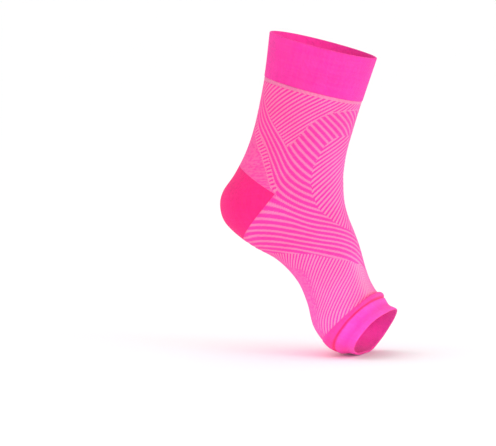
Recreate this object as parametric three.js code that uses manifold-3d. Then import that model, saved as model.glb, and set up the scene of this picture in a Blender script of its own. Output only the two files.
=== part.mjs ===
// An open-toed compression ankle sleeve in the shape that a left foot gives it, with the heel raised.
// +X points to the toes, +Y to the outer side of the ankle and +Z up, in millimetres.
// The origin is the middle of the ankle, where the foot holds the sleeve.
import * as THREE from "three";
import { LoftGeometry } from "three/addons/geometries/LoftGeometry.js";
import { mergeVertices } from "three/addons/utils/BufferGeometryUtils.js";
import Module from "manifold-3d";

const wasm = await Module();
wasm.setup();

// Driving dimensions
const KNIT_WALL = 1.2; // one layer of the patterned compression knit
const CUFF_PROUD = 0.4; // the doubled cuff stands this far outside the knit
const CUFF_WALL = 2.0;
const JOIN_HEIGHT = 2.2; // the pale linking course under the cuff
const TOE_PROUD = 0.5; // the doubled toe band stands this far outside the knit
const TOE_WALL = 1.9;
const SEAM_DEPTH = 0.9; // groove where the toe band's turned edge is sewn down
const SEAM_WIDTH = 1.6;
const FOLD = 0.6; // rounding of the folded edges at the cuff's rim and the toe opening
const GAP = 0.3; // clearance between neighbouring pieces
const HEEL_CORNER = new THREE.Vector2(-2.5, -13.5); // X and Z of the heel pocket's corner on both sides
const HEEL_UPPER_DEG = 32; // its upper edge climbs this steeply towards the tendon
const HEEL_LOWER_DEG = 50; // its lower edge falls this steeply towards the sole
const HEEL_REACH = 160; // length of the cutting wedge, past every wall behind the ankle
const AROUND = 44; // facets round a section

// One section of the foot's form for each row: a closed oval through a point at the back (calf, heel or
// sole) and a point at the front (shin or instep), with its full width across the ankle.
// lean moves the widest place to the front (+) or the back (-), square fills out the corners of the
// oval (2 is an ellipse), crest is how far the instep's ridge lies towards the inner side, and drawn is
// how far the two sides of the section are drawn back towards the leg.
const section = (name, backX, backZ, frontX, frontZ, width, lean, square, crest, drawn) => ({
  name, backX, backZ, frontX, frontZ, width, lean, square, crest, drawn,
});
const SECTIONS = [
  section("cuff_rim", -13.5, 125, 76.5, 102, 82, -0.06, 2.1, 0, 0),
  section("cuff_low", -18.5, 88, 64, 66, 74, -0.04, 2.1, 0, 0),
  section("shin", -27, 49.5, 56.5, 42.5, 65, 0.02, 2.1, 0, 0),
  section("thin", -35.5, 24, 50.5, 22, 64.5, 0.08, 2.1, 0, 0),
  section("malleoli", -46, 3.5, 47.5, 5, 68, 0.1, 2.15, 0, 0),
  section("heel_top", -56.5, -12, 47.5, -5, 69.5, 0.04, 2.2, 0, 0),
  section("heel_back", -59, -24.5, 48, -13.5, 69, -0.02, 2.2, 0, 0),
  section("heel_low", -55, -37.5, 49.5, -23, 68, -0.06, 2.2, 0, 0),
  section("heel_sole", -43, -49, 53, -33.5, 68, -0.08, 2.2, 1, 0),
  section("arch_back", -27, -59, 58, -45, 70, -0.1, 2.2, 2, 0),
  section("arch", -6, -69, 63, -58, 74, -0.12, 2.25, 4, 0),
  section("arch_front", 12.5, -85.5, 68, -75.5, 80, -0.14, 2.3, 6, 0),
  section("waist", 22.5, -104, 72.5, -87, 86, -0.14, 2.35, 8, 0),
  section("ball", 28, -123, 78, -95, 90, -0.14, 2.4, 9, 0.5),
  section("strip", 35.5, -134.5, 81.5, -96.5, 92, -0.14, 2.4, 10, 1),
  section("seam", 46, -144, 85, -101.5, 92, -0.14, 2.4, 10, 3.5),
  section("dip", 55, -147.5, 89, -107.5, 91, -0.14, 2.4, 10, 4.5),
  section("toe_rim", 64, -147.5, 95.5, -112, 90, -0.14, 2.4, 10, 5),
];
const station = (name) => SECTIONS.findIndex((row) => row.name === name);
const LAST = SECTIONS.length - 1;

// The rows joined by smooth curves, read by station: a row's index, or a share of the way to the next row
const curveOf = (pick) => new THREE.CatmullRomCurve3(SECTIONS.map(pick), false, "catmullrom");
const BACK = curveOf((row) => new THREE.Vector3(row.backX, 0, row.backZ));
const FRONT = curveOf((row) => new THREE.Vector3(row.frontX, -row.crest, row.frontZ));
const FORM = curveOf((row) => new THREE.Vector3(row.width / 2, row.lean, row.square));
const DRAWN = curveOf((row) => new THREE.Vector3(row.drawn, 0, 0));

// A point of the foot's form. The turn is 0 at the front and grows towards the outer side.
function formPoint(at, turn) {
  const share = THREE.MathUtils.clamp(at, 0, LAST) / LAST;
  const back = BACK.getPoint(share);
  const front = FRONT.getPoint(share);
  const { x: halfWidth, y: lean, z: square } = FORM.getPoint(share);
  const rounded = (value) => Math.sign(value) * Math.abs(value) ** (2 / square);
  const depth = rounded(Math.cos(turn));
  const side = rounded(Math.sin(turn)) * (1 + lean * depth);
  const toLeg = new THREE.Vector3(back.z - front.z, 0, front.x - back.x).normalize();
  const point = back.lerp(front, (1 + depth) / 2);
  point.y += halfWidth * side;
  return point.addScaledVector(toLeg, DRAWN.getPoint(share).x * side ** 2);
}

// The same point moved off the form along its normal
function skinPoint(at, turn, out) {
  const step = 0.01;
  const low = Math.max(0, at - step);
  const high = Math.min(LAST, at + step);
  const along = formPoint(high, turn).sub(formPoint(low, turn));
  const across = formPoint(at, turn + step).sub(formPoint(at, turn - step));
  const normal = along.cross(across).normalize();
  return formPoint(at, turn).addScaledVector(normal, out);
}

// The station that lies a distance further along the middle of the sleeve
function stationAfter(at, distance) {
  const step = 0.05;
  const low = Math.max(0, at - step);
  const high = Math.min(LAST, at + step);
  const middle = (place) => formPoint(place, 0).add(formPoint(place, Math.PI)).multiplyScalar(0.5);
  const speed = middle(high).distanceTo(middle(low)) / (high - low);
  return at + distance / speed;
}

// A closed wall through rings of the form: down its outer face, round the edge and up its inner face
function wall(path) {
  const loop = [...path, path[0]].map(({ at, out }) =>
    Array.from({ length: AROUND }, (_, i) => skinPoint(at, (-i / AROUND) * 2 * Math.PI, out)),
  );
  return merged(new LoftGeometry(loop));
}

// Rings at even steps between two stations, at one distance off the form
function rings(from, to, count, out) {
  return Array.from({ length: count + 1 }, (_, i) => ({ at: from + ((to - from) * i) / count, out }));
}

// A closed mesh with only positions, its shared corners merged
function merged(geometry) {
  const bare = new THREE.BufferGeometry().setAttribute("position", geometry.attributes.position);
  return mergeVertices(bare.setIndex(geometry.index), 1e-4);
}

const solid = (geometry) =>
  new wasm.Manifold(
    new wasm.Mesh({
      numProp: 3,
      vertProperties: geometry.attributes.position.array,
      triVerts: new Uint32Array(geometry.index.array),
    }),
  );

function geometryOf(manifold) {
  const { vertProperties, triVerts } = manifold.getMesh();
  return new THREE.BufferGeometry()
    .setAttribute("position", new THREE.BufferAttribute(vertProperties, 3))
    .setIndex(new THREE.BufferAttribute(triVerts, 1));
}

// Stations where the pieces meet
const CUFF_END = station("cuff_low");
const JOIN_START = stationAfter(CUFF_END, GAP);
const JOIN_END = stationAfter(JOIN_START, JOIN_HEIGHT);
const KNIT_START = stationAfter(JOIN_END, GAP);
const KNIT_END = station("strip");
const TOE_START = stationAfter(KNIT_END, GAP);
const TOE_END = station("toe_rim");

// The cuff: a wide plain band knitted double, folded over at its rim
function cuffGeometry() {
  const inner = CUFF_PROUD - CUFF_WALL;
  const below = stationAfter(0, FOLD);
  const steps = 5;
  return wall([
    { at: 0, out: CUFF_PROUD - FOLD },
    ...rings(below, CUFF_END, steps, CUFF_PROUD),
    ...rings(CUFF_END, below, steps, inner),
    { at: 0, out: inner + FOLD },
  ]);
}

// The pale course that links the cuff to the patterned knit
function joinGeometry() {
  return wall([...rings(JOIN_START, JOIN_END, 1, 0), ...rings(JOIN_END, JOIN_START, 1, -KNIT_WALL)]);
}

// The whole knitted tube from the linking course to the toe band, before the heel is taken out of it
function tubeSolid() {
  const steps = 28;
  const outside = rings(KNIT_START, KNIT_END, steps, 0);
  const inside = rings(KNIT_END, KNIT_START, steps, -KNIT_WALL);
  return solid(wall([...outside, ...inside]));
}

// A wedge across the ankle with its edge at the heel's side corners, open towards the back
function heelWedge(edgeShift) {
  const upper = THREE.MathUtils.degToRad(180 - HEEL_UPPER_DEG);
  const lower = THREE.MathUtils.degToRad(180 + HEEL_LOWER_DEG);
  const middle = (upper + lower) / 2;
  const shift = edgeShift / Math.sin((lower - upper) / 2);
  const along = (angle) => new THREE.Vector2(Math.cos(angle), Math.sin(angle));
  const edge = along(middle).multiplyScalar(-shift).add(HEEL_CORNER);
  const far = (angle) => along(angle).multiplyScalar(HEEL_REACH).add(edge);
  const prism = new THREE.ExtrudeGeometry(new THREE.Shape([edge, far(upper), far(lower)]), {
    depth: HEEL_REACH,
    bevelEnabled: false,
  });
  prism.translate(0, 0, -HEEL_REACH / 2).rotateX(Math.PI / 2);
  return solid(merged(prism));
}

// The toe band: a plain strip, a sewn groove, and a doubled band that ends in the toe opening's folded edge
function toeGeometry() {
  const inner = TOE_PROUD - TOE_WALL;
  const seam = station("seam");
  const beforeSeam = stationAfter(seam, -SEAM_WIDTH / 2);
  const afterSeam = stationAfter(seam, SEAM_WIDTH / 2);
  const nearRim = stationAfter(TOE_END, -FOLD);
  const stripSteps = 3;
  const bandSteps = 6;
  return wall([
    ...rings(TOE_START, beforeSeam, stripSteps, TOE_PROUD),
    { at: seam, out: TOE_PROUD - SEAM_DEPTH },
    ...rings(afterSeam, nearRim, bandSteps, TOE_PROUD),
    { at: TOE_END, out: TOE_PROUD - FOLD },
    { at: TOE_END, out: inner + FOLD },
    ...rings(nearRim, TOE_START, stripSteps + bandSteps, inner),
  ]);
}

// Yarn colours
const yarn = (color) => new THREE.MeshStandardMaterial({ color, roughness: 0.8, metalness: 0 });
const PLAIN_YARN = yarn(0xfe43b2);
const PALE_YARN = yarn(0xf38ab5);
const STRIPED_KNIT = yarn(0xfd64b9);
const HEEL_YARN = yarn(0xfc3388);

function piece(name, geometry, material) {
  const mesh = new THREE.Mesh(geometry, material);
  mesh.name = name;
  return mesh;
}

const tube = tubeSolid();
const sleeve = new THREE.Group();
sleeve.add(
  piece("cuff", cuffGeometry(), PLAIN_YARN),
  piece("cuff_join", joinGeometry(), PALE_YARN),
  piece("knit_body", geometryOf(tube.subtract(heelWedge(GAP))), STRIPED_KNIT),
  piece("heel_pocket", geometryOf(tube.intersect(heelWedge(0))), HEEL_YARN),
  piece("toe_band", toeGeometry(), PLAIN_YARN),
);

export default sleeve;
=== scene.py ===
import math

import bmesh
import bpy
import numpy as np
from mathutils import Color, Matrix, Vector


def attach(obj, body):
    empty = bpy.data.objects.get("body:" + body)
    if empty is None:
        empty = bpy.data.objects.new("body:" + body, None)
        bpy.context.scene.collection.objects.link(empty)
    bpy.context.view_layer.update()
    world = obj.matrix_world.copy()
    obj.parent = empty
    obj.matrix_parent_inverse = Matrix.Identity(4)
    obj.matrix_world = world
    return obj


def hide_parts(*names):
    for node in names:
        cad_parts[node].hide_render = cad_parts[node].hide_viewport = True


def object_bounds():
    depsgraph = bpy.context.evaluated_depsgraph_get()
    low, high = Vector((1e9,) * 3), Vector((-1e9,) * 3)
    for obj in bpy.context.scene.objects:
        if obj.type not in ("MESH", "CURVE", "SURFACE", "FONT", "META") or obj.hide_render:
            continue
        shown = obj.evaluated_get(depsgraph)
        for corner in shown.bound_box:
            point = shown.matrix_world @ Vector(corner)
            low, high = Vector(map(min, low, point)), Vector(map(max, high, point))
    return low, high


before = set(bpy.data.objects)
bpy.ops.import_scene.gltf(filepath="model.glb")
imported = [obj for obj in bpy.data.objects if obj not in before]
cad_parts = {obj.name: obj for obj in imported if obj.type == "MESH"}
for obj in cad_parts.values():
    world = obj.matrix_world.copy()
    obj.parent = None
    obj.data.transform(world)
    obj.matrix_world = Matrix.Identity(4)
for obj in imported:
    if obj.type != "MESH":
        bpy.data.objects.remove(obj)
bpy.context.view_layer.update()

# Cuff
# The wide plain band at the top, knitted double in hot pink yarn and folded over at its rim.
# It is knitted first, and everything below hangs from its lower edge.

# Sizes of the pieces are in mm, and only their finished points are in metres
MM = 0.001
FULL_TURN = 2 * math.pi
SLEEVE_WALES = 240
CUFF_PINK = (255, 57, 166)
CUFF_COLUMNS = 240
CUFF_ROWS = 44
CUFF_COURSES = 120
CUFF_PROUD = 0.4
CUFF_WALL = 2.0
CUFF_FOLD = 0.7
CUFF_BEND = np.radians([90, 67, 45, 22])
CUFF_EDGE = 0.3
CUFF_RIB = 0.07
CUFF_RIBS = 120
CUFF_LOWER_RING = 1.0
CUFF_LOWER = 0.5

# The rings of the sleeve's form, from the cuff's rim to the toe opening: back point x and z, front point x
# and z, width, lean of the widest place to the front, squareness, shift of the ridge to the inner side, and
# draw of the sides
RINGS = np.array(
    [
        (-13.5, 125, 76.5, 102, 82, -0.06, 2.1, 0, 0),
        (-18.5, 88, 64, 66, 74, -0.04, 2.1, 0, 0),
        (-27, 49.5, 56.5, 42.5, 65, 0.02, 2.1, 0, 0),
        (-35.5, 24, 50.5, 22, 64.5, 0.08, 2.1, 0, 0),
        (-46, 3.5, 47.5, 5, 68, 0.1, 2.15, 0, 0),
        (-56.5, -12, 47.5, -5, 69.5, 0.04, 2.2, 0, 0),
        (-59, -24.5, 48, -13.5, 69, -0.02, 2.2, 0, 0),
        (-55, -37.5, 49.5, -23, 68, -0.06, 2.2, 0, 0),
        (-43, -49, 53, -33.5, 68, -0.08, 2.2, 1, 0),
        (-27, -59, 58, -45, 70, -0.1, 2.2, 2, 0),
        (-6, -69, 63, -58, 74, -0.12, 2.25, 4, 0),
        (12.5, -85.5, 68, -75.5, 80, -0.14, 2.3, 6, 0),
        (22.5, -104, 72.5, -87, 86, -0.14, 2.35, 8, 0),
        (29, -125, 78, -95, 90, -0.14, 2.4, 9, 0.5),
        (40, -139.5, 81.5, -96.5, 92, -0.14, 2.4, 10, 1),
        (51, -146.5, 83.9, -99.3, 92, -0.14, 2.4, 10, 4.2),
        (60, -147.5, 88.6, -104.8, 91, -0.14, 2.4, 10, 3.2),
        (68.5, -147.5, 95, -109.2, 90, -0.14, 2.4, 10, 2.6),
    ]
)
LAST_RING = len(RINGS) - 1
STEPS_TO_A_RING = 100
SLOPE_STEP = 0.004
HALF_GRID = 0.5
# Corners this close are one, in radians round the sleeve and in metres
CLOSE_TURN = 1e-5
CLOSE_POINT = 1e-7


def smooth_rows(table, place):
    """Rows of the table at each place between its rows, on one smooth curve through all of them."""
    padded = np.vstack([2 * table[0] - table[1], table, 2 * table[-1] - table[-2]])
    start = np.clip(np.floor(place).astype(int), 0, len(table) - 2)
    share = (place - start)[:, None]
    before, here, after, beyond = (padded[start + k] for k in range(4))
    leave = (after - before) / 2
    arrive = (beyond - here) / 2
    rise = share * share * (3 - 2 * share)
    return (
        here * (1 - rise)
        + after * rise
        + leave * share * (1 - share) ** 2
        - arrive * share * share * (1 - share)
    )


def form_point(ring, turn):
    """Points of the sleeve's form. The turn is 0 at the front and grows to the outer side."""
    rows = smooth_rows(RINGS, ring)
    back_x, back_z, front_x, front_z, width, lean, square, ridge, drawn = rows.T
    across = np.sin(turn)
    ahead = np.cos(turn)
    reach = (np.abs(ahead) ** square + np.abs(across) ** square) ** (-1 / square)
    depth = reach * ahead
    side = reach * across * (1 + lean * depth)
    span_x = front_x - back_x
    span_z = front_z - back_z
    span = np.hypot(span_x, span_z)
    share = (1 + depth) / 2
    pull = drawn * side**2 / span
    x = back_x + span_x * share - span_z * pull
    y = -ridge * share + width / 2 * side
    z = back_z + span_z * share + span_x * pull
    return np.stack([x, y, z], axis=1)


def knit_point(ring, turn, out):
    """Points that stand off the form by the given mm, in metres."""
    along = form_point(ring + SLOPE_STEP, turn) - form_point(ring - SLOPE_STEP, turn)
    around = form_point(ring, turn + SLOPE_STEP) - form_point(ring, turn - SLOPE_STEP)
    normal = np.cross(along, around)
    normal /= np.linalg.norm(normal, axis=1)[:, None]
    return (form_point(ring, turn) + normal * out[:, None]) * MM


# Courses are counted in mm along the middle of the sleeve, from the cuff's lower edge
fine_rings = np.linspace(0, LAST_RING, STEPS_TO_A_RING * LAST_RING + 1)
fine_rows = smooth_rows(RINGS, fine_rings)
fine_middle = (fine_rows[:, 0:2] + fine_rows[:, 2:4]) / 2
fine_steps = np.linalg.norm(np.diff(fine_middle, axis=0), axis=1)
fine_courses = np.concatenate([[0], np.cumsum(fine_steps)])
fine_courses -= np.interp(CUFF_LOWER_RING, fine_rings, fine_courses)


def ring_at(course):
    """Ring number at a course."""
    return np.interp(course, fine_courses, fine_rings)


def course_at(ring):
    """Course at a ring number."""
    return float(np.interp(ring, fine_rings, fine_courses))


def knit_in_the_round(columns, section, relief, slide=None):
    """A closed wall round the form. Its section lists course and stand-off, down outside and up inside."""
    knit = bmesh.new()
    knit.loops.layers.uv.new("chart")
    rows = len(section) - 1
    bmesh.ops.create_grid(knit, x_segments=columns, y_segments=rows, size=HALF_GRID, calc_uvs=True)
    spots = np.array([corner.co for corner in knit.verts])
    turn = spots[:, 0] * FULL_TURN
    turn = np.where(turn > math.pi - CLOSE_TURN, -math.pi, turn)
    place = (spots[:, 1] + HALF_GRID) * rows
    numbers = np.arange(rows + 1)
    course = np.interp(place, numbers, section[:, 0])
    if slide:
        course = slide(turn, course)
    out = np.interp(place, numbers, section[:, 1])
    out = out + relief(turn, course, place, rows)
    for corner, spot in zip(knit.verts, knit_point(ring_at(course), turn, out)):
        corner.co = spot
    bmesh.ops.remove_doubles(knit, verts=knit.verts[:], dist=CLOSE_POINT)
    bmesh.ops.recalc_face_normals(knit, faces=knit.faces[:])
    return knit


def knit_piece(name, knit, material):
    """The finished mesh as an object of the scene."""
    for face in knit.faces:
        face.smooth = True
    mesh = bpy.data.meshes.new(name)
    knit.to_mesh(mesh)
    knit.free()
    mesh.materials.append(material)
    made = bpy.data.objects.new(name, mesh)
    bpy.context.scene.collection.objects.link(made)
    return made


def feed(tree, socket, value):
    """Links another node's output into the socket, or sets a plain value on it."""
    if isinstance(value, bpy.types.NodeSocket):
        tree.links.new(value, socket)
    else:
        socket.default_value = value


def add_node(tree, kind, inputs=None, output=0, **settings):
    """A node with its settings and inputs, and the output that is wanted of it."""
    made = tree.nodes.new(kind)
    for setting, value in settings.items():
        setattr(made, setting, value)
    for socket, value in (inputs or {}).items():
        feed(tree, made.inputs[socket], value)
    return made.outputs[output]


def sum_of(tree, first, second):
    """First and second added."""
    return add_node(tree, "ShaderNodeMath", {0: first, 1: second}, operation="ADD")


def product(tree, first, second):
    """First times second."""
    return add_node(tree, "ShaderNodeMath", {0: first, 1: second}, operation="MULTIPLY")


def nearest(tree, value):
    """Distance to the nearest whole number, 0 to 0.5."""
    return add_node(tree, "ShaderNodeMath", {0: value, 1: 0.5}, operation="PINGPONG")


def ramp(tree, value, low, high, low_to=0.0, high_to=1.0):
    """Value eased from one range to another."""
    inputs = {"Value": value, "From Min": low, "From Max": high, "To Min": low_to, "To Max": high_to}
    return add_node(tree, "ShaderNodeMapRange", inputs, interpolation_type="SMOOTHSTEP")


def parted(tree, vector):
    """The three numbers of a vector."""
    parts = tree.nodes.new("ShaderNodeSeparateXYZ")
    tree.links.new(vector, parts.inputs[0])
    return parts.outputs


# Numbers of the colour mixer's sockets: share, first and second colour, and the colour that comes out
MIX_SHARE = 0
MIX_FIRST = 6
MIX_SECOND = 7
MIX_RESULT = 2


def mixed(tree, share, first, second, way="MIX"):
    """Colour between first and second."""
    inputs = {MIX_SHARE: share, MIX_FIRST: first, MIX_SECOND: second}
    return add_node(tree, "ShaderNodeMix", inputs, MIX_RESULT, data_type="RGBA", blend_type=way)


def shaded(tree, colour, light):
    """Colour made lighter, darker or tinted by a value or colour near 1."""
    return mixed(tree, 1.0, colour, light, "MULTIPLY")


def yarn_colour(screen):
    """A colour given as on a screen, 0 to 255, as the shader wants it."""
    dyed = Color([value / 255 for value in screen])
    return (*dyed.from_srgb_to_scene_linear(), 1)


# A soft matt yarn with a faint nap
YARN_FINISH = {
    "Roughness": 0.82,
    "Specular IOR Level": 0.18,
    "Sheen Weight": 0.14,
    "Sheen Roughness": 0.45,
    "Sheen Tint": (1.0, 0.55, 0.85, 1),
}
# The V-shaped loops: lean and height of an arm, height of its foot, and the groove beside it in wales
LOOP_LEAN = 1.1
LOOP_ARM = 1.3
LOOP_FOOT = 0.35
LOOP_GROOVE = 0.18
LOOP_DEPTH = 0.2 * MM
# Heights of a loop, and the painted shade and highlight that they give the yarn's colour: darker in the
# grooves between the loops, lighter on their tops
LOOP_PAINTED_LIGHT = (0.1, 0.9, 0.78, 1.14)
# The dye: patches to the metre, with the darkest and the lightest of them
DYE_CLOUDS = (45.0, 0.95, 1.04)
DYE_GRAIN = (450.0, 0.94, 1.06)
DYE_DETAIL = 3.0
# Faint bars in plain knit: how fast they change from wale to wale and from course to course, and their tints
UPRIGHT_BARS = (0.4, 0.03)
LEVEL_BARS = (0.04, 0.28)
BAR_SHARE = (0.0, 0.5)
BAR_DETAIL = 2.0
BAR_DEEP = (1.0, 0.8, 0.97, 1)
BAR_PALE = (1.0, 1.2, 1.03, 1)
# The range that a noise mostly fills
NOISE_RANGE = (0.3, 0.7)


def knit_material(name):
    """A new yarn, with the finish that all of them share."""
    material = bpy.data.materials.new(name)
    material.use_nodes = True
    shader = material.node_tree.nodes["Principled BSDF"]
    for socket, value in YARN_FINISH.items():
        shader.inputs[socket].default_value = value
    return material, material.node_tree, shader


def stitch_chart(tree, courses):
    """Wale and course numbers from the piece's own chart."""
    chart = add_node(tree, "ShaderNodeUVMap", uv_map="chart")
    across, down, _ = parted(tree, chart)
    return product(tree, across, SLEEVE_WALES), product(tree, down, courses)


def stitch_height(tree, wale, course):
    """Rows of small V-shaped loops, with a groove between the wales."""
    off_centre = nearest(tree, wale)
    arm = nearest(tree, sum_of(tree, course, product(tree, off_centre, LOOP_LEAN)))
    groove = ramp(tree, off_centre, 0.0, LOOP_GROOVE)
    return product(tree, sum_of(tree, product(tree, arm, LOOP_ARM), LOOP_FOOT), groove)


def uneven(tree, scale, low, high):
    """A soft unevenness of the dye, in object space."""
    place = add_node(tree, "ShaderNodeTexCoord", output="Object")
    noise = add_node(tree, "ShaderNodeTexNoise", {"Vector": place, "Scale": scale, "Detail": DYE_DETAIL})
    return ramp(tree, noise, *NOISE_RANGE, low, high)


def chart_noise(tree, wale, course, wale_scale, course_scale):
    """Noise on the knitted chart, drawn out along the wales or the courses."""
    across = product(tree, wale, wale_scale)
    along = product(tree, course, course_scale)
    place = add_node(tree, "ShaderNodeCombineXYZ", {0: across, 1: along})
    return add_node(tree, "ShaderNodeTexNoise", {"Vector": place, "Scale": 1.0, "Detail": BAR_DETAIL})


def finish_yarn(tree, shader, colour, light, height):
    """Puts the colour, times the loops' painted shade and highlight and the dye's unevenness, and the raised
    loops on the shader.
    """
    tree.links.new(shaded(tree, colour, light), shader.inputs["Base Color"])
    bump = add_node(tree, "ShaderNodeBump", {"Strength": 1.0, "Distance": LOOP_DEPTH, "Height": height})
    tree.links.new(bump, shader.inputs["Normal"])


def plain_yarn(name, pink, courses, lines=()):
    """Plain knit in one colour, its stitches showing close up. Lines give a course, half width and colour."""
    material, tree, shader = knit_material(name)
    wale, course = stitch_chart(tree, courses)
    height = stitch_height(tree, wale, course)
    dye = product(tree, uneven(tree, *DYE_CLOUDS), uneven(tree, *DYE_GRAIN))
    upright = ramp(tree, chart_noise(tree, wale, course, *UPRIGHT_BARS), *NOISE_RANGE, *BAR_SHARE)
    level = ramp(tree, chart_noise(tree, wale, course, *LEVEL_BARS), *NOISE_RANGE, *BAR_SHARE)
    bars = mixed(tree, sum_of(tree, upright, level), BAR_DEEP, BAR_PALE)
    # Painted shade in the grooves between the loops and painted highlight on their tops, times the dye's
    # unevenness
    light = product(tree, ramp(tree, height, *LOOP_PAINTED_LIGHT), dye)
    colour = yarn_colour(pink)
    for middle, half_width, line_pink in lines:
        distance = add_node(tree, "ShaderNodeMath", {0: sum_of(tree, course, -middle)}, operation="ABSOLUTE")
        share = ramp(tree, distance, 0.0, half_width, 1.0, 0.0)
        colour = mixed(tree, share, colour, yarn_colour(line_pink))
    finish_yarn(tree, shader, shaded(tree, colour, bars), light, height)
    return material


def on_outside(place, rows):
    """True for the rows of a section that run down the outside."""
    return (place > 0.5) & (place < rows / 2)


def rib_of_cuff(turn, course, place, rows):
    """Fine upright ribs of the doubled knit, on the outside."""
    return CUFF_RIB * np.cos(turn * CUFF_RIBS) * on_outside(place, rows)


def fold_over(rim, back, face, deep, bend):
    """Half of a rounded fold at a rim. It runs back along the courses and deep into the wall from a face."""
    return [(rim + back * (1 - math.sin(b)), face + deep * (1 - math.cos(b))) for b in bend]


def cuff_loop():
    """Down the outside from a rounded fold, across the lower edge and up the inside."""
    rim = course_at(0.0)
    outer = CUFF_PROUD
    inner = CUFF_PROUD - CUFF_WALL
    first = rim + CUFF_FOLD
    last = CUFF_LOWER - CUFF_EDGE
    outer_fold = fold_over(rim, CUFF_FOLD, outer, -CUFF_FOLD, CUFF_BEND)
    inner_fold = fold_over(rim, CUFF_FOLD, inner, CUFF_FOLD, CUFF_BEND)
    down = [(course, outer) for course in np.linspace(first, last, CUFF_ROWS)]
    edge = [(CUFF_LOWER, outer - CUFF_EDGE), (CUFF_LOWER, inner + CUFF_EDGE)]
    up = [(course, inner) for course in np.linspace(last, first, CUFF_ROWS)]
    loop = outer_fold + down + edge + up + inner_fold[::-1]
    return np.array(loop + loop[:1])


cuff_yarn = plain_yarn("plain_cuff_yarn", CUFF_PINK, CUFF_COURSES)
cuff_knit = knit_in_the_round(CUFF_COLUMNS, cuff_loop(), rib_of_cuff)
cuff = knit_piece("cuff_knit", cuff_knit, cuff_yarn)
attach(cuff, "root")
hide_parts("cuff")

# Linking course
# A narrow pale course of loops that links the doubled cuff to the patterned tube.
# It is knitted in as the cuff is closed, so it lies a little below the cuff's face.
LINK_PINK = (242, 128, 174)
PIECE_GAP = 0.05
LINK_START = CUFF_LOWER + PIECE_GAP
LINK_END = CUFF_LOWER + 2.9
LINK_WALL = 1.2
LINK_SWELL = 0.12
LINK_LOOPS = 120
LINK_COLUMNS = 240
LINK_ROWS = 6
LINK_INNER_ROWS = 3
LINK_COURSES = 6


def swell_of_loops(turn, course, place, rows):
    """Each loop of the linking course swells a little."""
    return LINK_SWELL * np.cos(turn * LINK_LOOPS) * on_outside(place, rows)


def plain_section(start, end, wall, outer_rows, inner_rows):
    """A wall with square edges: down the outside and up the inside."""
    down = [(course, 0.0) for course in np.linspace(start, end, outer_rows)]
    up = [(course, -wall) for course in np.linspace(end, start, inner_rows)]
    loop = down + up
    return np.array(loop + loop[:1])


link_section = plain_section(LINK_START, LINK_END, LINK_WALL, LINK_ROWS, LINK_INNER_ROWS)
link_yarn = plain_yarn("pale_link_yarn", LINK_PINK, LINK_COURSES)
link_knit = knit_in_the_round(LINK_COLUMNS, link_section, swell_of_loops)
link = knit_piece("linking_course", link_knit, link_yarn)
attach(link, "root")
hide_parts("cuff_join")

# Patterned tube
# The main knit, made in the round between the linking course and the toe band: hot ribs on a paler ground.
# The ribs change direction from zone to zone, and run out into plain knit at the back, outer side and sole.
TUBE_HOT = (255, 48, 160)
TUBE_PALE = (255, 131, 177)
TUBE_COLUMNS = 280
TUBE_ROWS = 270
TUBE_INNER_ROWS = 58
TUBE_COURSES = 262
TUBE_START = LINK_END + PIECE_GAP
TUBE_END = course_at(13.92)
TUBE_WALL = 1.2
RIB_RELIEF = 0.2
RIB_SLOPE = 0.16
HEEL_CORNER_X = -1.0
HEEL_CORNER_Z = -11.9
HEEL_UPPER_DEG = 30
HEEL_LOWER_DEG = 50
HEEL_CUT_REACH = 3.0
SEAM_GAP = 0.04

# Guide lines of the wrapping ribs, as drawn: one row to a numbered rib, and in it the course where that
# rib passes each turn, every 20 degrees from the back, round the inner side and the front, to the outer side
WRAP_FIRST_TURN = -180
WRAP_TURN_STEP = 20
WRAP_NUMBERS = np.array([-16, -8, 0, 4, 5, 6, 7, 8, 12, 15])
WRAP_COURSES = np.array(
    [
        (-100, -90, -80, -66, -44, -38, -27, -19, -8, 3, 16, 28, 41, 53, 66),
        (-50, -42, -28, -13, 0, 11, 23, 35, 46, 59, 71, 84, 96, 109, 121),
        (-10, 4, 18, 31.2, 44.5, 61, 74, 85, 96, 106.5, 118, 130, 142, 154, 166),
        (11, 25, 38, 49.2, 66.2, 85.5, 99.5, 109, 118, 127, 136, 147, 160, 174, 190),
        (15, 29, 42.5, 55, 72, 92, 106, 115, 123, 131, 140, 150.5, 163.5, 178.5, 196),
        (30, 42, 54, 66, 84, 99, 111.7, 120.5, 128, 135.5, 143.5, 154, 167, 183, 202),
        (90, 90, 92, 96, 99.5, 106, 118.2, 126.5, 133, 140, 148, 158.5, 172, 189.5, 211),
        (107, 107, 107, 107, 107.5, 112.5, 124.7, 131.5, 138, 144.5, 152, 163, 177, 196, 220),
        (131, 130, 129.5, 128.5, 132.5, 141, 148.4, 154.5, 161.5, 169, 177, 187, 201, 220, 244),
        (147, 145, 144, 148, 154, 161, 167.2, 173, 179.5, 187, 195, 205, 219, 238, 262),
    ]
)

# Zone edges as drawn, given as turns in degrees and the courses there: the lower edge of the ribs under the
# cuff, the upper and the lower edge of the fan over the front, and the upper edge of the arch
UPPER_EDGE = np.array(
    [
        (-180, 3), (-165, 5), (-150, 10), (-140, 16), (-120, 29.5), (-110, 35.8), (-105, 39.5), (-100, 43),
        (-95, 46.8), (-90.5, 51), (-85, 47), (-82, 43.5), (-79, 39.5), (-75, 34), (-70, 28.5), (-60, 20.5),
        (-50, 15.5), (-30, 11), (0, 8), (30, 27), (60, 46), (92, 62), (120, 44), (150, 22), (180, 3),
    ]
)
FAN_TOP = np.array(
    [
        (-52.5, 70), (-51, 63), (-49, 57), (-47, 51.5), (-44, 47.5), (-40, 44), (-30, 40), (-10, 38.5),
        (0, 40), (30, 57), (90, 95),
    ]
)
FAN_FOOT = np.array(
    [
        (-52.5, 70), (-52, 78), (-51, 86), (-50, 95), (-48, 101.5), (-47, 107), (-45, 112), (-42, 116.5),
        (-38, 121.5), (-33, 127), (-27, 131), (-20, 134.5), (-10, 137.5), (0, 140), (30, 153), (60, 172),
        (80, 190),
    ]
)
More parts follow.
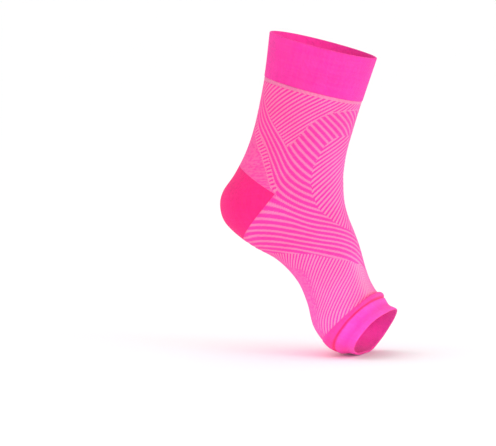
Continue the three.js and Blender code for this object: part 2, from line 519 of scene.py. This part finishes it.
ARCH_EDGE = np.array(
    [
        (-180, 150), (-140, 148), (-120, 151), (-100, 154), (-80, 157), (-60, 163), (-40, 167), (-20, 172),
        (0, 174), (30, 185), (60, 205), (80, 225), (180, 225),
    ]
)
FAN_FIRST_TURN = -52.5

# Where plain knit begins on the outer side and on the sole, as courses and the turns there
OUTER_PLAIN = np.array(
    [(40, 100), (60, 95), (75, 88), (90, 80), (120, 74), (150, 74), (180, 80), (205, 92), (218, 100)]
)
SOLE_PLAIN = np.array(
    [
        (112, -168), (150, -165), (160, -152), (166, -138), (169, -121), (173, -115), (195, -119),
        (205, -124), (222, -136),
    ]
)
OUTER_PLAIN_FROM = 60
SOLE_PLAIN_FROM = 112
BACK_PLAIN_TURN = 92
BACK_PLAIN_TO = 112
HEEL_CORNER_COURSE = 96
HEEL_CORNER_TURN = -84
PLAIN_FADE_DEG = 16

# Between which wrapping ribs the ladder runs, as courses and rib numbers, and its pale rails' width in ribs
LADDER_FIRST = np.array([(40, 4.15), (55, 4.3), (63, 4.42), (70, 4.62), (80, 4.88), (88, 5.0)])
LADDER_LAST = np.array([(40, 5.4), (60, 5.38), (72, 5.4), (80, 5.5), (88, 5.65)])
LADDER_RAIL = 0.075

# The zones, the hot share of a rib in each, and how the wrapping ribs soften
UPPER, WRAP, FAN, ARCH, LADDER, PLAIN = range(6)
HOT_SHARES = np.array([0.52, 0.62, 0.52, 0.5, 0.5, 1.0])
WRAP_SOFTNESS = 0.18
PLAIN_NUMBER = 0.5

# The pale line that bounds the ribs under the cuff: its width, and the turns between which it runs
UPPER_LINE = 1.1
UPPER_LINE_TURNS = (-90, 0)

# Ribs counted along courses and turns: first number, ribs to a course and to a degree, and how those rates
# change with the course, with the turn and with both
FAN_COUNT = (-6.44, 0.184, 0.052, 0.00019, -0.00049, 0.0005)
ARCH_COUNT = (-25.56, 0.284, 0.344, -0.000233, -0.00016, -0.00108)
LADDER_COUNT = (0.8, 0.278, 0.0, -0.000666, 0.0, 0.0)
LADDER_TILT = 0.36
UPPER_PITCH = 4.1
UPPER_TILT = 0.65
UPPER_FIRST = 13.4
# How far the fan's ribs lie below an even spacing, as courses and mm
FAN_SHIFT = np.array(
    [
        (44, 3.4), (50, 3.0), (58, 1.6), (66, 0.4), (72, 0.0), (78, 0.3), (86, 1.3), (96, 1.9), (104, 1.8),
        (114, 1.5), (124, 1.0), (140, 0.8),
    ]
)
# The arch's ribs are stretched near the toe band, most between the two middle turns
ARCH_STRETCH = 0.085
ARCH_STRETCH_START = 194
ARCH_STRETCH_TURNS = (-95, -65, -45, -25)
# In front of the arch the ribs follow its edge, and pale out over the ridge
FRONT_TURN = -8
FRONT_PITCH = 2.9
FRONT_TURNS = (-34, -18, -4, 20)
FRONT_HOT = (1, 0.3, 0.3, 1)

# How far the tube's end lies along from its mean course, as turns to either side and mm
END_SLIDE = np.array(
    [(0, -8), (20, -5), (45, -0.5), (65, 0), (90, 0), (105, 0), (120, -0.5), (150, -1.5), (180, -2)]
)
SLIDE_REACH = 30
TOE_SEAM = course_at(15.0)


def follow(table, value):
    """Second column of a table, read at a value of the first."""
    return np.interp(value, table[:, 0], table[:, 1])


def slide_at_end(turn, course):
    """Courses on both sides of the tube's end, moved so that the end follows the toe band's edge."""
    before = 1 - (TUBE_END - course) / SLIDE_REACH
    after = 1 - (course - TUBE_END) / (TOE_SEAM - TUBE_END)
    return course + follow(END_SLIDE, np.abs(np.degrees(turn))) * np.clip(np.minimum(before, after), 0, 1)


def wrap_number(turn, course):
    """Number of the wrapping rib at each place, whole numbers lying on the pale lines."""
    last = WRAP_COURSES.shape[1] - 1
    place = np.clip((turn - WRAP_FIRST_TURN) / WRAP_TURN_STEP, 0, last)
    guides = smooth_rows(WRAP_COURSES.T, place)
    number = np.full(len(turn), float(WRAP_NUMBERS[0]))
    for low in range(len(WRAP_NUMBERS) - 1):
        start = guides[:, low]
        share = (course - start) / (guides[:, low + 1] - start)
        step = WRAP_NUMBERS[low + 1] - WRAP_NUMBERS[low]
        inside = share >= 0
        number[inside] = (WRAP_NUMBERS[low] + share * step)[inside]
    return number


def zone_of(turn, course):
    """The zone of the knit at each place of the outside."""
    number = wrap_number(turn, course)
    zone = np.full(len(turn), WRAP)
    zone[course > follow(ARCH_EDGE, turn)] = ARCH
    in_fan = (turn > FAN_FIRST_TURN) & (course > follow(FAN_TOP, turn)) & (course < follow(FAN_FOOT, turn))
    zone[in_fan] = FAN
    zone[(course > OUTER_PLAIN_FROM) & (turn > follow(OUTER_PLAIN, course))] = PLAIN
    zone[(course > SOLE_PLAIN_FROM) & (turn < follow(SOLE_PLAIN, course))] = PLAIN
    above_heel = (turn < HEEL_CORNER_TURN) & (course < HEEL_CORNER_COURSE)
    at_back = above_heel & (number > follow(LADDER_FIRST, course))
    zone[at_back] = np.where(number < follow(LADDER_LAST, course), LADDER, PLAIN)[at_back]
    zone[(turn > BACK_PLAIN_TURN) & (course < BACK_PLAIN_TO)] = PLAIN
    zone[course < follow(UPPER_EDGE, turn)] = UPPER
    return zone


def counted(counts, course, turn):
    """Rib number from a first number, rates along courses and turns, and the changes of those rates."""
    first, per_course, per_turn, course_change, turn_change, joint_change = counts
    along = course * (per_course + course_change * course + joint_change * turn)
    around = turn * (per_turn + turn_change * turn)
    return first + along + around


def rib_number(zone, turn, course):
    """Rib number of each place in its own zone, whole numbers lying on the pale lines."""
    near_toes = np.interp(turn, ARCH_STRETCH_TURNS, (0, 1, 1, 0))
    eased = course - ARCH_STRETCH * np.maximum(course - ARCH_STRETCH_START, 0) * near_toes
    across_front = (course - follow(ARCH_EDGE, turn)) / FRONT_PITCH
    choices = [
        (course + UPPER_TILT * turn + UPPER_FIRST) / UPPER_PITCH,
        wrap_number(turn, course),
        counted(FAN_COUNT, course - follow(FAN_SHIFT, course), turn),
        np.where(turn < FRONT_TURN, counted(ARCH_COUNT, eased, turn), across_front),
        counted(LADDER_COUNT, course + LADDER_TILT * turn, turn),
        np.full(len(turn), PLAIN_NUMBER),
    ]
    return np.choose(zone, choices)


def plainness_of(zone, turn, course):
    """1 in plain knit, falling off over the ribs beside the sole."""
    beside_sole = (follow(SOLE_PLAIN, course) + PLAIN_FADE_DEG - turn) / PLAIN_FADE_DEG
    fading = np.clip(beside_sole, 0, 1) * (zone == ARCH)
    return np.select([zone == PLAIN, zone == WRAP], [1.0, WRAP_SOFTNESS], fading)


def rib_relief(turn, course, place, rows):
    """Hot ribs stand a little proud of the pale ground, on the outside."""
    degrees = np.degrees(turn)
    zone = zone_of(degrees, course)
    number = rib_number(zone, degrees, course)
    from_pale = np.abs(number - np.round(number))
    edge = (1 - HOT_SHARES[zone]) / 2
    height = np.clip((from_pale - edge) / RIB_SLOPE, -0.5, 0.5)
    flat = (zone == PLAIN) | (place > TUBE_ROWS - 1) | (place < 1)
    return np.where(flat, 0, RIB_RELIEF * height)


def heel_plane(degrees, shift):
    """A plane through the heel's side corners: a point on it, and its direction out of the heel."""
    sign = 1 if degrees < 180 else -1
    angle = math.radians(degrees)
    away = Vector((sign * math.sin(angle), 0, -sign * math.cos(angle)))
    corner = Vector((HEEL_CORNER_X, 0, HEEL_CORNER_Z)) * MM
    return corner + away * shift * MM, away


def close_cut(knit):
    """Closes the cut edges of a wall, from its outside to its inside."""
    rim = [line for line in knit.edges if line.is_boundary]
    bmesh.ops.bridge_loops(knit, edges=rim)
    bmesh.ops.recalc_face_normals(knit, faces=knit.faces[:])
    return knit


def open_for_heel(knit):
    """Takes the heel's wedge out of the tube and closes the cut edges of its wall."""
    planes = [heel_plane(180 - HEEL_UPPER_DEG, SEAM_GAP), heel_plane(180 + HEEL_LOWER_DEG, SEAM_GAP)]
    reach = (HEEL_CORNER_X + HEEL_CUT_REACH) * MM
    for point, away in planes:
        behind = [face for face in knit.faces if face.calc_center_median().x < reach]
        corners = {corner for face in behind for corner in face.verts}
        lines = {line for face in behind for line in face.edges}
        touched = [*corners, *lines, *behind]
        bmesh.ops.bisect_plane(knit, geom=touched, dist=CLOSE_POINT, plane_co=point, plane_no=away)
    heel_faces = []
    for face in knit.faces:
        middle = face.calc_center_median()
        if all((middle - point).dot(away) < 0 for point, away in planes):
            heel_faces.append(face)
    bmesh.ops.delete(knit, geom=heel_faces, context="FACES")
    loose = [line for line in knit.edges if not line.link_faces]
    bmesh.ops.delete(knit, geom=loose, context="EDGES")
    return close_cut(knit)


def chart_ribs(made, section):
    """Writes each corner's rib number, hot share and plainness, from its place in the knitted chart."""
    mesh = made.data
    spots = np.zeros(len(mesh.loops) * 2, np.float32)
    mesh.uv_layers["chart"].uv.foreach_get("vector", spots)
    spots = spots.reshape(-1, 2).astype(float)
    first = np.zeros(len(mesh.polygons), int)
    count = np.zeros(len(mesh.polygons), int)
    mesh.polygons.foreach_get("loop_start", first)
    mesh.polygons.foreach_get("loop_total", count)
    face_of = np.repeat(np.arange(len(first)), count)
    rows = len(section) - 1
    numbers = np.arange(rows + 1)
    turn = np.degrees((spots[:, 0] - HALF_GRID) * FULL_TURN)
    place = spots[:, 1] * rows
    course = slide_at_end(np.radians(turn), np.interp(place, numbers, section[:, 0]))

    # One zone and one hot share to a face, from its middle
    middle_turn = np.bincount(face_of, turn) / count
    middle_place = np.bincount(face_of, place) / count
    middle_course = slide_at_end(np.radians(middle_turn), np.interp(middle_place, numbers, section[:, 0]))
    zone = zone_of(middle_turn, middle_course)
    zone[middle_place > TUBE_ROWS] = PLAIN
    below_upper = middle_course - follow(UPPER_EDGE, middle_turn)
    line_start, line_end = UPPER_LINE_TURNS
    beside_line = (middle_turn > line_start) & (middle_turn < line_end) & (zone == WRAP)
    on_line = (below_upper > 0) & (below_upper < UPPER_LINE) & beside_line
    along_wrap = wrap_number(middle_turn, middle_course)
    from_first = along_wrap - follow(LADDER_FIRST, middle_course)
    from_last = follow(LADDER_LAST, middle_course) - along_wrap
    on_rail = (zone == LADDER) & (np.minimum(from_first, from_last) < LADDER_RAIL)
    share = np.where(on_line | on_rail, 0.0, HOT_SHARES[zone])
    front_share = np.interp(middle_turn, FRONT_TURNS, FRONT_HOT)
    share = np.where(zone == ARCH, share * front_share, share)

    zone_here = zone[face_of]
    number = rib_number(zone_here, turn, course)
    ribs = np.stack([number, share[face_of], plainness_of(zone_here, turn, course)], axis=1)
    marks = mesh.attributes.new("ribs", "FLOAT_VECTOR", "CORNER")
    marks.data.foreach_set("vector", ribs.astype(np.float32).ravel())

    # The inside has fewer rows, so its chart is stretched to stitches of the same size
    inside = place - TUBE_ROWS
    spots[:, 1] = np.where(inside > 0, TUBE_ROWS + inside * TUBE_ROWS / TUBE_INNER_ROWS, place) / rows
    mesh.uv_layers["chart"].uv.foreach_set("vector", spots.astype(np.float32).ravel())


# The ribs' edges: how far the loops step them, how ragged the dye makes them and how soft they are, in ribs
EDGE_STEP = 0.2
EDGE_RAGGED = (900.0, -0.14, -0.08)
EDGE_BLUR = 0.07
# Plain knit mingles the two yarns in short streaks, and breaks into the ribs beside it
STREAKS = (0.28, 0.56)
STREAK_RANGE = (0.32, 0.68)
STREAK_HOT = (0.46, 0.82)
BREAK_FROM = 0.2
BREAK_UP = (-4.0, 4.0)
TUBE_CLOUDS = (45.0, 0.96, 1.04)


def rest_of(tree, value):
    """What is left of 1."""
    return add_node(tree, "ShaderNodeMath", {0: 1.0, 1: value}, operation="SUBTRACT")


def ribbed_yarn(name, hot, pale, courses):
    """Hot ribs on a pale ground, as the piece's own chart places them, and a mingled plain knit."""
    material, tree, shader = knit_material(name)
    wale, course = stitch_chart(tree, courses)
    height = stitch_height(tree, wale, course)
    marks = add_node(tree, "ShaderNodeAttribute", output="Vector", attribute_name="ribs")
    number, hot_share, even = parted(tree, marks)
    stepped = sum_of(tree, product(tree, height, EDGE_STEP), number)
    ragged = sum_of(tree, uneven(tree, *EDGE_RAGGED), stepped)
    edge = sum_of(tree, product(tree, hot_share, -0.5), 0.5)
    rib = ramp(tree, nearest(tree, ragged), sum_of(tree, edge, -EDGE_BLUR), sum_of(tree, edge, EDGE_BLUR))
    streak = chart_noise(tree, wale, course, *STREAKS)
    mingled = ramp(tree, streak, *STREAK_RANGE, *STREAK_HOT)
    past_ribs = sum_of(tree, even, -BREAK_FROM)
    fading = add_node(tree, "ShaderNodeMath", {0: past_ribs, 1: 0.0}, operation="MAXIMUM")
    between = product(tree, fading, rest_of(tree, even))
    broken = product(tree, between, ramp(tree, streak, *STREAK_RANGE, *BREAK_UP))
    plainness = add_node(tree, "ShaderNodeClamp", {0: sum_of(tree, even, broken)})
    ribbed = product(tree, rib, rest_of(tree, plainness))
    hotness = sum_of(tree, ribbed, product(tree, mingled, plainness))
    colour = mixed(tree, hotness, yarn_colour(pale), yarn_colour(hot))
    # Painted shade in the grooves between the loops and painted highlight on their tops, times the dye's
    # unevenness
    light = product(tree, ramp(tree, height, *LOOP_PAINTED_LIGHT), uneven(tree, *TUBE_CLOUDS))
    finish_yarn(tree, shader, colour, light, height)
    return material


tube_section = plain_section(TUBE_START, TUBE_END, TUBE_WALL, TUBE_ROWS + 1, TUBE_INNER_ROWS + 1)
tube_knit = open_for_heel(knit_in_the_round(TUBE_COLUMNS, tube_section, rib_relief, slide_at_end))
tube_yarn = ribbed_yarn("ribbed_two_pink_yarn", TUBE_HOT, TUBE_PALE, TUBE_COURSES)
tube = knit_piece("patterned_tube", tube_knit, tube_yarn)
chart_ribs(tube, tube_section)
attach(tube, "root")
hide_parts("knit_body")

# Heel pocket
# The plain pocket round the heel, knitted in a deeper pink by turning short rows.
# Its edges are knitted into the tube along the two lines that meet at its side corners.
HEEL_PINK = (255, 36, 128)
HEEL_COLUMNS = 240
HEEL_ROWS = 110
HEEL_COURSES = 220
HEEL_FIRST_RING = 3.3
HEEL_LAST_RING = 9.2
HEEL_RIB = 0.05
HEEL_RIBS = 120


def rib_of_heel(turn, course, place, rows):
    """Fine wales of the plain knit, on the outside."""
    return HEEL_RIB * np.cos(turn * HEEL_RIBS) * (place < HEEL_ROWS)


def keep_heel(knit):
    """Keeps what lies inside the heel's wedge and closes the cut edges of its wall."""
    for degrees in (180 - HEEL_UPPER_DEG, 180 + HEEL_LOWER_DEG):
        point, away = heel_plane(degrees, 0.0)
        bmesh.ops.bisect_plane(
            knit,
            geom=[*knit.verts, *knit.edges, *knit.faces],
            dist=CLOSE_POINT,
            plane_co=point,
            plane_no=away,
            clear_outer=True,
        )
    return close_cut(knit)


heel_start = course_at(HEEL_FIRST_RING)
heel_end = course_at(HEEL_LAST_RING)
heel_section = plain_section(heel_start, heel_end, TUBE_WALL, HEEL_ROWS, HEEL_ROWS)
heel_knit = keep_heel(knit_in_the_round(HEEL_COLUMNS, heel_section, rib_of_heel))
heel_yarn = plain_yarn("deep_heel_yarn", HEEL_PINK, HEEL_COURSES)
heel = knit_piece("heel_cup", heel_knit, heel_yarn)
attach(heel, "root")
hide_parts("heel_pocket")

# Toe band
# The plain band at the toe end: a strip, a sewn groove, and a doubled hem folded over at the toe opening.
# It is sewn to the tube's end, and a painted shade darkens the sewn groove to a redder line.
TOE_PINK = (255, 67, 176)
TOE_COLUMNS = 240
TOE_PROUD = 0.5
TOE_WALL = 1.9
TOE_FOLD = 0.8
TOE_BEND = np.radians([30, 60, 90])
TOE_START = TUBE_END + PIECE_GAP
TOE_END = course_at(17.0)
TOE_STRIP_ROWS = 12
TOE_STRIP_ROLL = 0.35
TOE_STRIP_EDGE = 0.4
TOE_HEM_ROWS = 24
TOE_DENT = 1.0
TOE_INNER_DENT = 0.5
# The sewn groove: its depth and width, and its rows as shares of half that width and of the depth
TOE_SEAM_DEPTH = 0.9
TOE_SEAM_WIDTH = 2.2
TOE_GROOVE = ((-0.5, 0.6), (0.0, 1.0), (0.5, 0.5))
# The strip's roll at the front, and the hem's waves: count round the band, start, and share of the height
TOE_FRONT_ROLL = 0.9
TOE_ROLL_FULLNESS = 0.6
TOE_WAVE = 0.3
TOE_WAVES = ((5, 0.7, 1.0), (9, 2.0, 0.6))
# Tinted rows of the band: their colours, and half their widths in rows. The rows at the hem's dent, the sewn
# groove and the rim's fold are painted shade.
STRIP_PINK = (255, 56, 150)
STRIP_PLACE = 0.42
STRIP_HALF = 12.0
# Painted shade: a darker pink along the hem's dent
DENT_PAINTED_SHADE = (255, 56, 166)
DENT_HALF = 8.0
# Painted shade: the sewn groove darkened to a redder line
SEAM_PAINTED_SHADE = (253, 42, 112)
SEAM_HALF = 4.2
# Painted shade: a dark red line along the fold at the toe opening's rim
RIM_PAINTED_SHADE = (225, 30, 112)
RIM_HALF = 2.2


def swelling(share):
    """A smooth swell from 0 at both ends to 1 in the middle."""
    return np.sin(math.pi * share)


def toe_loop():
    """Down the strip and over the sewn groove, along the hem, round its fold and back inside."""
    outer = TOE_PROUD
    inner = TOE_PROUD - TOE_WALL
    half = TOE_SEAM_WIDTH / 2
    last = TOE_END - TOE_FOLD
    strip_share = np.linspace(0, 1, TOE_STRIP_ROWS)
    strip_courses = TOE_START + (TOE_SEAM - half - TOE_START) * strip_share
    strip = list(zip(strip_courses, outer + TOE_STRIP_ROLL * swelling(strip_share)))
    strip[0] = (TOE_START, outer - TOE_STRIP_EDGE)
    groove = [(TOE_SEAM + half * along, outer - TOE_SEAM_DEPTH * deep) for along, deep in TOE_GROOVE]
    dent = swelling(np.linspace(0, 1, TOE_HEM_ROWS)) ** 2
    hem_courses = np.linspace(TOE_SEAM + half, last, TOE_HEM_ROWS)
    hem = list(zip(hem_courses, outer - TOE_DENT * dent))
    outer_fold = fold_over(TOE_END, -TOE_FOLD, outer, -TOE_FOLD, TOE_BEND)
    inner_fold = fold_over(TOE_END, -TOE_FOLD, inner, TOE_FOLD, TOE_BEND)
    inside_courses = np.linspace(last, TOE_START, TOE_HEM_ROWS)
    inside = list(zip(inside_courses, inner - TOE_INNER_DENT * dent))
    loop = strip + groove + hem + outer_fold + inner_fold[::-1] + inside
    return np.array(loop + loop[:1])


def wave_of_hem(turn, course, place, rows):
    """The hem is a little wavy where it is not pulled tight, and the strip rolls up at the front."""
    share = np.clip((course - TOE_SEAM) / (TOE_END - TOE_SEAM), 0, 1)
    waves = sum(height * np.sin(count * turn + start) for count, start, height in TOE_WAVES)
    along_strip = np.clip(place / (TOE_STRIP_ROWS - 1), 0, 1)
    roll = np.clip(swelling(along_strip), 0, 1) ** TOE_ROLL_FULLNESS * np.clip(np.cos(turn), 0, 1)
    return TOE_WAVE * share * waves + TOE_FRONT_ROLL * roll


toe_section = toe_loop()
toe_rows = len(toe_section) - 1
hem_row = TOE_STRIP_ROWS + len(TOE_GROOVE)
# Rows of the band's colour: the strip's tint, then painted shade in the hem's dent, the sewn groove and the
# rim's fold
toe_lines = [
    (TOE_STRIP_ROWS * STRIP_PLACE, STRIP_HALF, STRIP_PINK),
    (hem_row + TOE_HEM_ROWS / 2, DENT_HALF, DENT_PAINTED_SHADE),
    (TOE_STRIP_ROWS + 1, SEAM_HALF, SEAM_PAINTED_SHADE),
    (hem_row + TOE_HEM_ROWS + len(TOE_BEND), RIM_HALF, RIM_PAINTED_SHADE),
]
toe_yarn = plain_yarn("plain_toe_yarn", TOE_PINK, toe_rows, toe_lines)
toe_knit = knit_in_the_round(TOE_COLUMNS, toe_section, wave_of_hem, slide_at_end)
toe = knit_piece("toe_hem", toe_knit, toe_yarn)
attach(toe, "root")
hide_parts("toe_band")

# Floor, light and camera
# A pale sweep of paper, soft light from all round, and a long lens level with the middle of the sleeve.
# The lights stand in metres and watts, and the lens frames the sleeve as the photograph does.
FLOOR_CLEARANCE = 0.0005
FLOOR_REACH = 200.0
PAPER_WHITE = (0.985, 0.985, 0.985, 1)
PAPER_ROUGHNESS = 0.9
STUDIO_WHITE = (1.0, 1.0, 1.0, 1)
STUDIO_STRENGTH = 1.02
VIEW_TURN_DEG = 18
VIEW_TILT_DEG = 3.7
VIEW_DISTANCE = 3.0
VIEW_REACH = 1000
METRES_TO_PIXEL = 0.00085
IMAGE_WIDTH = 496
IMAGE_HEIGHT = 446
MIDDLE_PIXEL = (288, 178)
SENSOR_MM = 36

floor_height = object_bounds()[0][2] - FLOOR_CLEARANCE
paper = bmesh.new()
bmesh.ops.create_grid(paper, x_segments=1, y_segments=1, size=FLOOR_REACH)
bmesh.ops.translate(paper, verts=paper.verts[:], vec=(0, 0, floor_height))
paper_mesh = bpy.data.meshes.new("paper_floor")
paper.to_mesh(paper_mesh)
paper.free()
paper_finish = bpy.data.materials.new("pale_paper")
paper_finish.use_nodes = True
paper_shader = paper_finish.node_tree.nodes["Principled BSDF"]
paper_shader.inputs["Base Color"].default_value = PAPER_WHITE
paper_shader.inputs["Roughness"].default_value = PAPER_ROUGHNESS
paper_mesh.materials.append(paper_finish)
paper_floor = bpy.data.objects.new("paper_floor", paper_mesh)
bpy.context.scene.collection.objects.link(paper_floor)

studio = bpy.data.worlds.new("studio")
studio.use_nodes = True
studio_light = studio.node_tree.nodes["Background"]
studio_light.inputs["Color"].default_value = STUDIO_WHITE
studio_light.inputs["Strength"].default_value = STUDIO_STRENGTH
bpy.context.scene.world = studio
bpy.context.scene.view_settings.view_transform = "Standard"
bpy.context.scene.view_settings.look = "None"

view_turn = math.radians(VIEW_TURN_DEG)
view_tilt = math.radians(VIEW_TILT_DEG)
level_share = math.cos(view_tilt)
view_back = Vector(
    (
        math.sin(view_turn) * level_share,
        -math.cos(view_turn) * level_share,
        math.sin(view_tilt),
    )
)
view_level = Vector((view_back.x, view_back.y, 0))
view_right = Vector((math.cos(view_turn), math.sin(view_turn), 0))
view_up = view_back.cross(view_right)


def soft_light(name, aim_at, toward, distance, size, spread_deg, power, colour):
    """A large soft light that faces a place on the sleeve."""
    lamp = bpy.data.lights.new(name, "AREA")
    lamp.shape = "DISK"
    lamp.size = size
    lamp.spread = math.radians(spread_deg)
    lamp.energy = power
    lamp.color = colour
    made = bpy.data.objects.new(name, lamp)
    made.location = aim_at + toward.normalized() * distance
    made.rotation_euler = toward.to_track_quat("Z", "Y").to_euler()
    bpy.context.scene.collection.objects.link(made)


soft_light(
    "side_softbox",
    aim_at=Vector((0, 0, 0)),
    toward=view_back + view_right * 1.2,
    distance=2.0,
    size=1.2,
    spread_deg=180,
    power=21.0,
    colour=(0.97, 0.96, 1.0),
)
soft_light(
    "low_softbox",
    aim_at=Vector((0.065, -0.02, -0.135)),
    toward=view_level + view_right * 0.2,
    distance=0.5,
    size=0.06,
    spread_deg=20,
    power=0.019,
    colour=(0.85, 0.95, 1.0),
)
soft_light(
    "left_softbox",
    aim_at=Vector((0, 0, 0)),
    toward=view_level - view_right * 1.2,
    distance=2.0,
    size=1.2,
    spread_deg=180,
    power=5.3,
    colour=(1.0, 0.41, 0.75),
)
soft_light(
    "front_softbox",
    aim_at=Vector((0.05, 0, -0.008)),
    toward=view_right - view_level * 0.5,
    distance=0.6,
    size=0.08,
    spread_deg=22,
    power=0.014,
    colour=(0.8, 0.9, 1.0),
)
soft_light(
    "arch_softbox",
    aim_at=Vector((0.02, -0.02, -0.115)),
    toward=view_level - view_right * 2.2,
    distance=0.5,
    size=0.06,
    spread_deg=28,
    power=0.022,
    colour=(0.7, 0.78, 1.0),
)

lens = bpy.data.cameras.new("photo_view")
lens.sensor_width = SENSOR_MM
lens.lens = VIEW_DISTANCE / METRES_TO_PIXEL * SENSOR_MM / IMAGE_WIDTH
lens.clip_end = VIEW_REACH
view = bpy.data.objects.new("photo_view", lens)
aim_right = (IMAGE_WIDTH / 2 - MIDDLE_PIXEL[0]) * METRES_TO_PIXEL
aim_up = (MIDDLE_PIXEL[1] - IMAGE_HEIGHT / 2) * METRES_TO_PIXEL
aim = view_right * aim_right + view_up * aim_up
spot = aim + view_back * VIEW_DISTANCE
view.matrix_world = Matrix(
    (
        (view_right.x, view_up.x, view_back.x, spot.x),
        (view_right.y, view_up.y, view_back.y, spot.y),
        (view_right.z, view_up.z, view_back.z, spot.z),
        (0, 0, 0, 1),
    )
)
bpy.context.scene.collection.objects.link(view)
bpy.context.scene.camera = view
